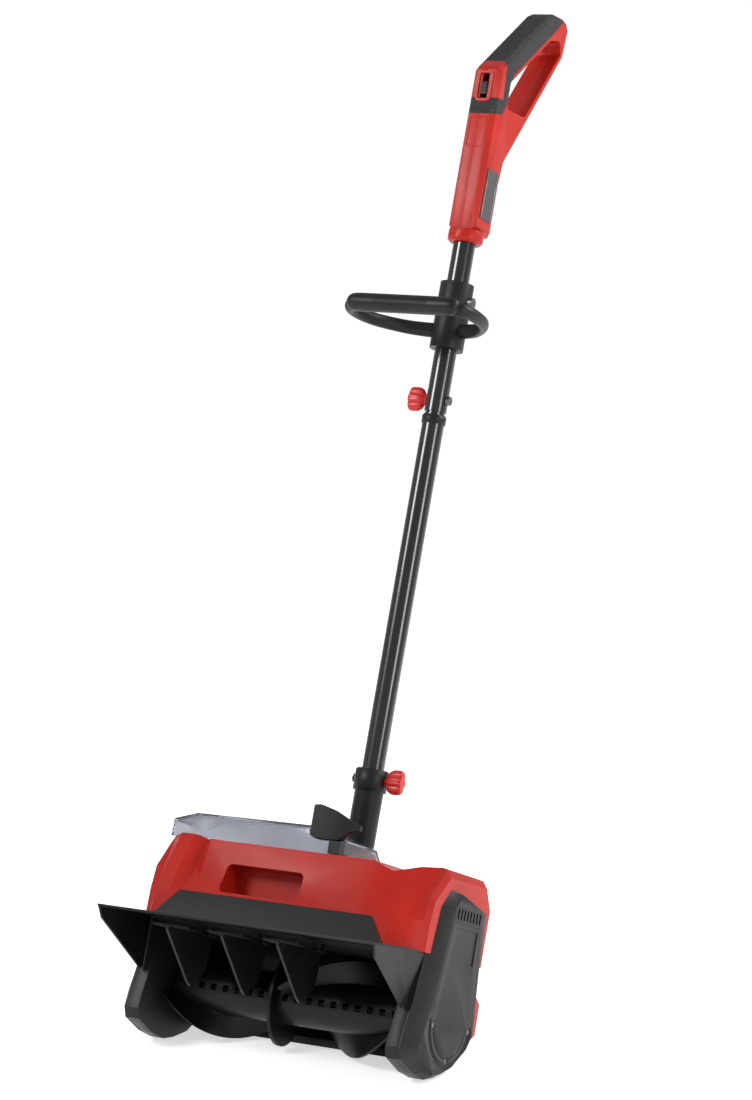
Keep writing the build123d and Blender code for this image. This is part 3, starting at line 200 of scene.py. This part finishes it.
RED_DARK = (0.36, 0.011, 0.005)
RED_LIGHT = (0.43, 0.016, 0.007)
FINISHES = {
    "red_casing": moulded(
        "red_plastic", RED_DARK, RED_LIGHT, (0.34, 0.46), 900, 0.05, coat=0.05, specular=0.2),
    "red_knob": moulded(
        "knob_plastic", (0.46, 0.012, 0.01), (0.56, 0.02, 0.013), (0.34, 0.44), 900, 0.06,
        coat=0.1, specular=0.35),
    "black_casing": moulded(
        "black_plastic", (0.005, 0.005, 0.0048), (0.0105, 0.0105, 0.01), (0.36, 0.5), specular=0.26),
    "auger_black": moulded(
        "auger_plastic", (0.002, 0.002, 0.002), (0.005, 0.005, 0.005), (0.3, 0.44), specular=0.25),
    "pack_black": moulded("pack_plastic", (0.018, 0.018, 0.019), (0.03, 0.03, 0.03), (0.5, 0.62)),
    "label_black": moulded(
        "label_film", (0.004, 0.004, 0.004), (0.008, 0.008, 0.008), (0.12, 0.2), 300, 0.02, coat=0.6),
    "board_green": moulded("board_resin", (0.01, 0.09, 0.03), (0.02, 0.14, 0.05), (0.35, 0.5), 500, 0.06),
    "rubber_black": rubber("grip_rubber"),
    "tube_black": lacquered_tube("tube_lacquer"),
    "steel": metal("zinc_steel", (0.1, 0.1, 0.1), (0.18, 0.18, 0.18), (0.3, 0.46)),
    "motor_steel": metal("motor_steel_can", (0.3, 0.3, 0.32), (0.42, 0.42, 0.44), (0.35, 0.5), (0.05, 1, 1)),
    "scraper_steel": metal("scraper_paint", (0.03, 0.03, 0.03), (0.07, 0.07, 0.07), (0.4, 0.6), (0.05, 1, 1)),
    "contact_brass": metal("contact_metal", (0.62, 0.44, 0.18), (0.76, 0.56, 0.26), (0.25, 0.4)),
    "clear_lid": smoky_clear("smoky_lid"),
}


# ---- moulded edges: a rounded copy stands for each sharp-edged casing part ----
def softened(node, width, segments=3, angle=28):
    """A copy of a CAD part with its sharp edges rounded, which stands for that part."""
    source = NODES[node]
    mesh = source.data.copy()
    work = bmesh.new()
    work.from_mesh(mesh)
    bmesh.ops.remove_doubles(work, verts=work.verts, dist=0.00001)
    bmesh.ops.dissolve_limit(
        work, angle_limit=math.radians(1.0), verts=work.verts, edges=work.edges, delimit=set()
    )
    for face in work.faces:
        face.smooth = True
    work.to_mesh(mesh)
    work.free()
    mesh.materials.clear()
    mesh.materials.append(FINISHES[SLOT_OF[node]])
    piece = bpy.data.objects.new(f"{node}_skin", mesh)
    bpy.context.scene.collection.objects.link(piece)
    rounding = piece.modifiers.new("rounding", "BEVEL")
    rounding.width = width * MM
    rounding.segments = segments
    rounding.limit_method = "ANGLE"
    rounding.angle_limit = math.radians(angle)
    rounding.use_clamp_overlap = True
    rounding.harden_normals = True
    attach(piece, BODY_OF[node])
    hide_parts(node)
    return piece


ROUNDED = {
    "rear_shell": 2.0, "visor": 0.7, "left_side_frame": 1.0, "right_side_frame": 1.0,
    "left_side_cover": 1.4, "right_side_cover": 1.4, "pole_socket": 1.0, "rear_heel": 1.0,
    "handle_left_shell": 0.8, "handle_right_shell": 0.8, "grip_cover": 0.5, "handle_collar": 0.6,
    "aux_clamp": 1.0,
    "battery_lid": 0.6, "trigger": 0.6, "lock_slide": 0.4,
}
for node in NODES:
    NODES[node].data.materials.clear()
    NODES[node].data.materials.append(FINISHES[SLOT_OF[node]])
for node, width in ROUNDED.items():
    softened(node, width)


# ---- mesh building blocks ----
def piece_of(name, work, node, finish=None, replace=False):
    """Turn a bmesh drawn in machine millimetres into a piece that rides with a CAD part."""
    for vertex in work.verts:
        vertex.co = place(*vertex.co)
    bmesh.ops.recalc_face_normals(work, faces=work.faces)
    mesh = bpy.data.meshes.new(name)
    for face in work.faces:
        face.smooth = True
    work.to_mesh(mesh)
    work.free()
    slot = finish or SLOT_OF[node]
    mesh.materials.append(FINISHES[slot])
    piece = bpy.data.objects.new(name, mesh)
    bpy.context.scene.collection.objects.link(piece)
    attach(piece, BODY_OF[node])
    if replace:
        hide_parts(node)
    return piece


def rounded(piece, width, segments=3, angle=25):
    """Round a piece's sharp edges."""
    rounding = piece.modifiers.new("rounding", "BEVEL")
    rounding.width = width * MM
    rounding.segments = segments
    rounding.limit_method = "ANGLE"
    rounding.angle_limit = math.radians(angle)
    rounding.harden_normals = True
    return piece


def add_loft(work, sections, closed=False):
    """Skin a run of sections, each a ring of points, and cap both ends unless the run closes on itself."""
    rings = [[work.verts.new(point) for point in ring] for ring in sections]
    count = len(rings[0])
    runs = len(rings) if closed else len(rings) - 1
    for index in range(runs):
        here, after = rings[index], rings[(index + 1) % len(rings)]
        for corner in range(count):
            beside = (corner + 1) % count
            work.faces.new((here[corner], here[beside], after[beside], after[corner]))
    if not closed:
        work.faces.new(rings[0][::-1])
        work.faces.new(rings[-1])


def add_box(work, low, high):
    """A box between two machine corners."""
    add_loft(work, [[(x, low[1], low[2]), (x, high[1], low[2]), (x, high[1], high[2]), (x, low[1], high[2])]
                    for x in (low[0], high[0])])


def ring_along_x(x, y, z, radius, count=32):
    """A circle round the X direction."""
    return [(x, y + radius * math.cos(math.tau * i / count), z + radius * math.sin(math.tau * i / count))
            for i in range(count)]


def outline_at(x, outline):
    """A side-view outline placed across the machine at x."""
    return [(x, y, z) for y, z in outline]


def drawn(work, name):
    """An object for a bmesh drawn in machine millimetres."""
    for vertex in work.verts:
        vertex.co = place(*vertex.co)
    bmesh.ops.recalc_face_normals(work, faces=work.faces)
    mesh = bpy.data.meshes.new(name)
    work.to_mesh(mesh)
    work.free()
    tool = bpy.data.objects.new(name, mesh)
    bpy.context.scene.collection.objects.link(tool)
    return tool


def cut_by(piece, tool):
    """Cut a tool object out of a piece and drop the tool."""
    action = piece.modifiers.new(tool.name, "BOOLEAN")
    action.operation = "DIFFERENCE"
    action.solver = "EXACT"
    action.object = tool
    settled(piece)
    bpy.data.objects.remove(tool)


def cut(piece, work, name):
    """Cut a bmesh drawn in machine millimetres out of a piece."""
    cut_by(piece, drawn(work, name))


def settled(piece):
    """Apply a piece's modifiers to its mesh."""
    graph = bpy.context.evaluated_depsgraph_get()
    mesh = bpy.data.meshes.new_from_object(piece.evaluated_get(graph))
    piece.modifiers.clear()
    piece.data = mesh


# ---- red hood: a shell lofted across the machine, with a shoulder at each end ----
HOOD_LOW, HOOD_HIGH = extent("red_hood")
LID_LOW, LID_HIGH = extent("battery_lid")
BAY_LOW, BAY_HIGH = extent("battery_bay")
SOCKET_LOW, SOCKET_HIGH = extent("pole_socket")
HOOD_FOOT = HOOD_LOW[2]
HOOD_ROOF = LID_LOW[2] - 0.5
HOOD_BACK = 61.0
HOOD_FACE = HOOD_LOW[1]
HOOD_WALL = 2.5


def hood_section(x, foot, waist, brow, top_front, top, drop):
    """One side view of the hood: foot, waist and brow points, the top, and the rear corner."""
    return [x, [(foot, HOOD_FOOT), waist, brow, (top_front, top), (HOOD_BACK - 15, top),
                (HOOD_BACK, top - drop), (HOOD_BACK, HOOD_FOOT)]]


def hood_sections(wall=0.0):
    """The hood's side views from its left end to its right end, drawn in by a wall's thickness."""
    plain = ((HOOD_FACE + 9, HOOD_FOOT + 28), (-86, 112))
    views = [
        hood_section(HOOD_LOW[0], -68, (-67, 94), (-63, 119), -44, 145, 14),
        hood_section(-165, -74, (-70, 94), (-64, 118), -50, 154, 20),
        hood_section(-150, HOOD_FACE + 7, (-94, 94), (-82, 122), -62, 158, 26),
        hood_section(-132, HOOD_FACE, (-96, 94), (-84, 122), -64, 158, 28),
        hood_section(-118, HOOD_FACE, (-92, 94), (-74, 122), -58, 154, 26),
        hood_section(-104, HOOD_FACE, *plain, -74, HOOD_ROOF, 26),
        hood_section(98, HOOD_FACE, *plain, -74, HOOD_ROOF, 26),
        hood_section(118, HOOD_FACE, (-94, 94), (-84, 110), -66, 146, 26),
        hood_section(139, HOOD_FACE + 2, (-91, 95), (-76, 113), -44, 156, 27),
        hood_section(158, -88, (-80, 97), (-68, 118), -32, 159, 28),
        hood_section(167, -75, (-73, 98), (-68, 122), -36, 157, 28),
        hood_section(HOOD_HIGH[0], -69, (-68, 96), (-64, 120), -38, 149, 22),
    ]
    views[0][0] += wall
    views[-1][0] -= wall
    drawn_in = ((wall, -4 * wall), (wall, 0), (wall, -0.5 * wall), (0.5 * wall, -wall), (-0.5 * wall, -wall),
                (-wall, -0.5 * wall), (-wall, -4 * wall))
    ceiling = HOOD_ROOF - wall if wall else 1000.0
    return [outline_at(x, [(y + dy, min(z + dz, ceiling)) for (y, z), (dy, dz) in zip(outline, drawn_in)])
            for x, outline in views]


work = bmesh.new()
add_loft(work, hood_sections())
hood = piece_of("hood_shell", work, "red_hood", replace=True)
work = bmesh.new()
add_loft(work, hood_sections(HOOD_WALL))
inside = drawn(work, "inside_tool")
work = bmesh.new()
add_box(work, (-78.0, -125.0, 94.0), (26.0, -52.0, 134.0))
cut(inside, work, "pocket_block_tool")
cut_by(hood, inside)


def pocket_ring(y, grow):
    """The rounded outline of the carry pocket at depth y."""
    left, right, low, high, corner = -75 - grow, 23 + grow, 97 - grow, 131 + grow, 7.0
    points = []
    for cx, cz, start in ((right - corner, high - corner, 0), (left + corner, high - corner, 90),
                          (left + corner, low + corner, 180), (right - corner, low + corner, 270)):
        for step in range(7):
            angle = math.radians(start + 15 * step)
            points.append((cx + corner * math.cos(angle), y, cz + corner * math.sin(angle)))
    return points


work = bmesh.new()
add_loft(work, [pocket_ring(-125, 1.5), pocket_ring(-54.5, -3.0)])
cut(hood, work, "pocket_tool")
work = bmesh.new()
add_box(work, (LID_LOW[0] - 0.5, LID_LOW[1] - 0.5, HOOD_ROOF + 0.2), (LID_HIGH[0] + 0.5, 43.0, 200))
cut(hood, work, "lid_seat_tool")
work = bmesh.new()
add_box(work, (BAY_LOW[0] - 0.3, BAY_LOW[1] - 0.3, BAY_LOW[2]), (BAY_HIGH[0] + 0.3, BAY_HIGH[1] + 0.3, 200))
cut(hood, work, "bay_tool")


def upright_ring(x, y, z, radius, count=40):
    """A circle round the pole's direction."""
    return [(x + radius * math.cos(math.tau * i / count), y + radius * math.sin(math.tau * i / count), z)
            for i in range(count)]


BOSS_X, BOSS_Y = 0.0, (SOCKET_LOW[1] + SOCKET_HIGH[1]) / 2
SOCKET_BORE = 17.8
STEM_BORE = 5.4
STEM_LOW, STEM_HIGH = extent("lever_stem")
STEM_X, STEM_Y = (STEM_LOW[0] + STEM_HIGH[0]) / 2, (STEM_LOW[1] + STEM_HIGH[1]) / 2
work = bmesh.new()
add_loft(work, [upright_ring(BOSS_X, BOSS_Y, z, SOCKET_BORE) for z in (60, 200)])
cut(hood, work, "socket_tool")
work = bmesh.new()
add_loft(work, [upright_ring(STEM_X, STEM_Y, z, STEM_BORE) for z in (140, 170)])
cut(hood, work, "stem_tool")
rounded(hood, 1.6, 3, 22)

# ---- socket boss and hinge lugs: red parts that stand on the hood ----
BOSS_R = 20.0
BOSS_BORE = 17.9
work = bmesh.new()
boss_shape = (
    (HOOD_FOOT + 2, BOSS_R), (171.5, BOSS_R), (173.6, BOSS_R - 1), (173.6, BOSS_BORE), (HOOD_FOOT + 2, BOSS_BORE))
add_loft(work, [upright_ring(BOSS_X, BOSS_Y, z, radius, 56) for z, radius in boss_shape], closed=True)
rounded(piece_of("socket_boss", work, "red_hood"), 0.6)

HINGE_LOW, HINGE_HIGH = extent("lid_hinge_pin")
HINGE_Y, HINGE_Z = (HINGE_LOW[1] + HINGE_HIGH[1]) / 2, (HINGE_LOW[2] + HINGE_HIGH[2]) / 2
LUG_R = 4
LUG_HALF = 3
work = bmesh.new()
for lug_x in (HINGE_LOW[0] + LUG_HALF, (HINGE_LOW[0] + HINGE_HIGH[0]) / 2, HINGE_HIGH[0] - LUG_HALF):
    lug = [(HINGE_Y + LUG_R, HOOD_ROOF - 2)]
    for step in range(16):
        angle = math.radians(12 * step)
        lug.append((HINGE_Y + LUG_R * math.cos(angle), HINGE_Z + LUG_R * math.sin(angle)))
    lug += [(HINGE_Y - LUG_R, HOOD_ROOF - 2)]
    add_loft(work, [outline_at(lug_x - LUG_HALF, lug), outline_at(lug_x + LUG_HALF, lug)])
rounded(piece_of("hinge_lugs", work, "red_hood"), 0.5)


# ---- smooth paths and swept pieces ----
def smooth_path(points, steps=8):
    """Points along a smooth curve through the given ones."""
    held = [Vector(points[0])] + [Vector(point) for point in points] + [Vector(points[-1])]
    path = []
    for index in range(1, len(held) - 2):
        before, here, after, beyond = held[index - 1:index + 3]
        for step in range(steps):
            t = step / steps
            path.append(0.5 * (2 * here + (after - before) * t
                               + (2 * before - 5 * here + 4 * after - beyond) * t ** 2
                               + (3 * here - before - 3 * after + beyond) * t ** 3))
    path.append(held[-2])
    return path


def add_swept(work, path, wide, tall, count=20):
    """Sweep an oval along a level path; wide and tall give its half sizes from 0 to 1 along it."""
    sections = []
    for index, point in enumerate(path):
        ahead = path[min(index + 1, len(path) - 1)]
        behind = path[max(index - 1, 0)]
        along = (ahead - behind).normalized()
        beside = Vector((-along.y, along.x, 0)).normalized()
        share = index / (len(path) - 1)
        sections.append([
            tuple(point + beside * wide(share) * math.cos(math.tau * i / count)
                  + Vector((0, 0, tall(share) * math.sin(math.tau * i / count))))
            for i in range(count)])
    add_loft(work, sections)


# ---- front handle: a knurled grip bar and two arms that sweep back to the clamp ----
AUX_LOW, AUX_HIGH = extent("aux_handle")
AUX_LEVEL = (AUX_LOW[2] + AUX_HIGH[2]) / 2
GRIP_Y = AUX_LOW[1] + 10.5
KNURL_HALF = 34.0
KNURL_PITCH = 2.6


def bar_radius(x):
    """Radius of the grip bar: domed ends, a plain stretch, and fine ridges in the middle."""
    if abs(x) > KNURL_HALF:
        return 10.4 * math.sqrt(max(1 - ((abs(x) - KNURL_HALF) / 36) ** 8, 0.05))
    return 10.1 + 0.38 * abs(math.sin(math.pi * x / KNURL_PITCH))


work = bmesh.new()
bar_places = [-69.5 + 139 * i / 214 for i in range(215)]
add_loft(work, [ring_along_x(x, GRIP_Y, AUX_LEVEL, bar_radius(x), 36) for x in bar_places])
for side in (-1, 1):
    arm = smooth_path([(side * 58, GRIP_Y + 1, AUX_LEVEL - 1), (side * 72, GRIP_Y + 10, AUX_LEVEL - 2),
                       (side * 75.5, GRIP_Y + 34, AUX_LEVEL - 3), (side * 68, GRIP_Y + 64, AUX_LEVEL - 3),
                       (side * 44, GRIP_Y + 94, AUX_LEVEL - 2), (side * 17, GRIP_Y + 108, AUX_LEVEL - 1)])
    add_swept(work, arm, lambda t: 7.2 - 1.6 * math.sin(math.pi * t), lambda t: 8.6 - 1.2 * math.sin(math.pi * t))
piece_of("front_handle_loop", work, "aux_handle", replace=True)

# ---- wing knobs: a round hub that spreads into lobed wings ----
WING_SHARES = ((0.0, 0.50), (0.10, 0.56), (0.24, 0.86), (0.42, 0.98), (0.72, 1.0), (0.92, 0.97), (1.0, 0.84))


def wing_knob(node, side):
    """A clamp knob with lobed wings that spread towards its outer end."""
    low, high = extent(node)
    seat, tip = (low[0], high[0]) if side > 0 else (high[0], low[0])
    middle_y, middle_z = (low[1] + high[1]) / 2, (low[2] + high[2]) / 2
    half_y, half_z = (high[1] - low[1]) / 2, (high[2] - low[2]) / 2
    sections = []
    for share, grow in WING_SHARES:
        ring = []
        for i in range(40):
            angle = math.tau * i / 40
            waist = 0.62 + 0.38 * abs(math.cos(2 * angle)) ** 0.8
            spread = half_y + (half_z - half_y) * abs(math.sin(angle)) ** 1.6 * min(1, grow)
            radius = min(spread, half_z) * grow * waist
            ring.append((seat + (tip - seat) * share, middle_y + radius * math.cos(angle),
                         middle_z + radius * math.sin(angle)))
        sections.append(ring)
    work = bmesh.new()
    add_loft(work, sections)
    rounded(piece_of(f"{node}_wings", work, node, replace=True), 0.9)


wing_knob("lower_wing_knob", 1)
wing_knob("upper_wing_knob", -1)

# ---- lever: a slanted paddle that tapers into a side wing ----
LEVER_LOW, LEVER_HIGH = extent("lever_paddle")
LEVER_SHAPE = ((0.0, 0, 10, 3, 36), (0.14, 0, 12, 0, 37), (0.42, 2, 13, 0, 33), (0.62, 4, 14, 1, 28),
               (0.78, 7, 14, 11, 24), (0.93, 9, 15, 13, 21), (1.0, 10, 15, 14, 20))
work = bmesh.new()
lever_sections = []
for share, front, back, bottom, top in LEVER_SHAPE:
    x = LEVER_LOW[0] + (LEVER_HIGH[0] - LEVER_LOW[0]) * share
    lever_sections.append(outline_at(x, [
        (LEVER_LOW[1] + front, LEVER_LOW[2] + bottom), (LEVER_LOW[1] + back, LEVER_LOW[2] + bottom),
        (LEVER_LOW[1] + back, LEVER_LOW[2] + top), (LEVER_LOW[1] + front, LEVER_LOW[2] + top)]))
add_loft(work, lever_sections)
rounded(piece_of("lever_hand_piece", work, "lever_paddle", replace=True), 1.3, 4)

# ---- handle details ----
SHELL_LOW = extent("handle_right_shell")[0]
LOCK_LOW, LOCK_HIGH = extent("lock_slide")
FRONT_FACE = SHELL_LOW[1]
RIM_EASE = 0.7


def slab_ring(x_half, low, high, corner, y):
    """A rounded upright rectangle facing forward at depth y."""
    points = []
    for cx, cz, start in ((x_half - corner, high - corner, 0), (corner - x_half, high - corner, 90),
                          (corner - x_half, low + corner, 180), (x_half - corner, low + corner, 270)):
        for step in range(6):
            angle = math.radians(start + 18 * step)
            points.append((cx + corner * math.cos(angle), y, cz + corner * math.sin(angle)))
    return points


def framed_rim(name, node, x_half, low, high, corner, width, proud):
    """A raised rounded rim on the handle's front face."""
    work = bmesh.new()
    base, face = FRONT_FACE + 0.6, FRONT_FACE - proud
    inner = (x_half - width, low + width, high - width, max(corner - width, 1))
    add_loft(work, [
        slab_ring(x_half, low, high, corner, base),
        slab_ring(x_half - RIM_EASE, low + RIM_EASE, high - RIM_EASE, corner, face),
        slab_ring(*inner, face), slab_ring(*inner, base)], closed=True)
    rounded(piece_of(name, work, node), 0.4)


framed_rim("lock_surround", "handle_right_shell", 10.5, LOCK_LOW[2] - 9, LOCK_HIGH[2] + 13, 6, 3.6, 1.7)
framed_rim("front_panel_rim", "handle_left_shell", 11.5, LOCK_LOW[2] - 62, LOCK_LOW[2] - 26, 3, 1.4, 0.7)

# ---- label plate: blank, with a fine raised border ----
LABEL_LOW, LABEL_HIGH = extent("label_plate")
BORDER_INSET = 1.6
BORDER_WIDTH = 0.7
BORDER_PROUD = 0.35
work = bmesh.new()
for inset in (BORDER_INSET, 23.0):
    add_box(work, (LABEL_HIGH[0] - 0.2, LABEL_LOW[1] + inset, LABEL_LOW[2] + BORDER_INSET),
            (LABEL_HIGH[0] + BORDER_PROUD, LABEL_LOW[1] + inset + BORDER_WIDTH, LABEL_HIGH[2] - BORDER_INSET))
piece_of("label_border", work, "label_plate", "motor_steel")

# ---- side covers: two round grooves cut into each outer face ----
COVER_HIGH = extent("right_side_cover")[1]
GROOVE_DEPTH = 0.9


def cover_groove(side, radius, width, first, last):
    """A tool that cuts one round groove into a side cover's outer face."""
    face = side * COVER_HIGH[0]
    work = bmesh.new()
    sections = []
    for i in range(49):
        angle = math.radians(first + (last - first) * i / 48)
        cos, sin = math.cos(angle), math.sin(angle)
        sections.append([(face + side, (radius - width) * cos, (radius - width) * sin),
                         (face - side * GROOVE_DEPTH, (radius - width / 3) * cos, (radius - width / 3) * sin),
                         (face - side * GROOVE_DEPTH, (radius + width / 3) * cos, (radius + width / 3) * sin),
                         (face + side, (radius + width) * cos, (radius + width) * sin)])
    add_loft(work, sections)
    return work


for side, name in ((-1, "left"), (1, "right")):
    skin = bpy.data.objects[f"{name}_side_cover_skin"]
    settled(skin)
    cut(skin, cover_groove(side, 46.0, 1.5, 178, 362), "outer_groove_tool")
    cut(skin, cover_groove(side, 37.0, 1.1, 184, 356), "inner_groove_tool")
    skin.data.set_sharp_from_angle(angle=math.radians(35))

# ---- tube bands: a ring at the pole's neck and one at the socket's top ----
NECK_LOW, NECK_HIGH = extent("upper_tube")
POLE_Y = (NECK_LOW[1] + NECK_HIGH[1]) / 2


def band(name, node, low, high, radius, finish=None):
    """A close-fitting ring round the pole with eased edges."""
    work = bmesh.new()
    shape = ((low, radius - 0.9), (low + 0.8, radius), (high - 0.8, radius), (high, radius - 0.9))
    rings = [[(r * math.cos(math.tau * i / 48), POLE_Y + r * math.sin(math.tau * i / 48), z) for i in range(48)]
             for z, r in shape]
    add_loft(work, rings)
    piece_of(name, work, node, finish)


band("neck_ring", "lower_tube", NECK_LOW[2] - 14, NECK_LOW[2] - 4, 13.6, "black_casing")
band("socket_ring", "pole_socket", SOCKET_HIGH[2] - 24, SOCKET_HIGH[2] - 0.5, 18.6)

# ---- studio ----
bpy.context.scene.view_settings.view_transform = "Standard"
FLOOR_HALF = 400.0
FLOOR_GLOW = 0.6
floor_mesh = bpy.data.meshes.new("floor")
floor_mesh.from_pydata(
    [(-FLOOR_HALF, -FLOOR_HALF, 0), (FLOOR_HALF, -FLOOR_HALF, 0),
     (FLOOR_HALF, FLOOR_HALF, 0), (-FLOOR_HALF, FLOOR_HALF, 0)],
    [], [(0, 1, 2, 3)],
)
floor = bpy.data.objects.new("floor", floor_mesh)
bpy.context.scene.collection.objects.link(floor)
floor_paint = Shader("floor_paint", (0.7, 0.8), specular=0.1)
floor_paint.colour(floor_paint.noise(0.8, 2), (0.86, 0.86, 0.86), (0.88, 0.88, 0.88))
floor_paint.surface.inputs["Emission Color"].default_value = (1, 1, 1, 1)
floor_paint.surface.inputs["Emission Strength"].default_value = FLOOR_GLOW
floor_mesh.materials.append(floor_paint.material)

world = bpy.data.worlds.new("studio")
bpy.context.scene.world = world
world.use_nodes = True
world.node_tree.nodes["Background"].inputs["Color"].default_value = (0.95, 0.96, 1.0, 1)
world.node_tree.nodes["Background"].inputs["Strength"].default_value = 0.5


def soft_box(name, location, target, size, power):
    """A square area light facing a point."""
    data = bpy.data.lights.new(name, "AREA")
    data.shape = "SQUARE"
    data.size = size
    data.energy = power
    lamp = bpy.data.objects.new(name, data)
    lamp.location = location
    lamp.rotation_mode = "QUATERNION"
    lamp.rotation_quaternion = (Vector(target) - Vector(location)).to_track_quat("-Z", "Y")
    bpy.context.scene.collection.objects.link(lamp)


soft_box("key", (-1.7, -2.4, 2.6), (0, 0, 0.4), 1.1, 72)
soft_box("rim", (1.9, 1.7, 2.2), (0, 0, 0.5), 1.2, 60)
soft_box("side", (2.8, -0.6, 1.3), (0, 0, 0.3), 0.8, 20)
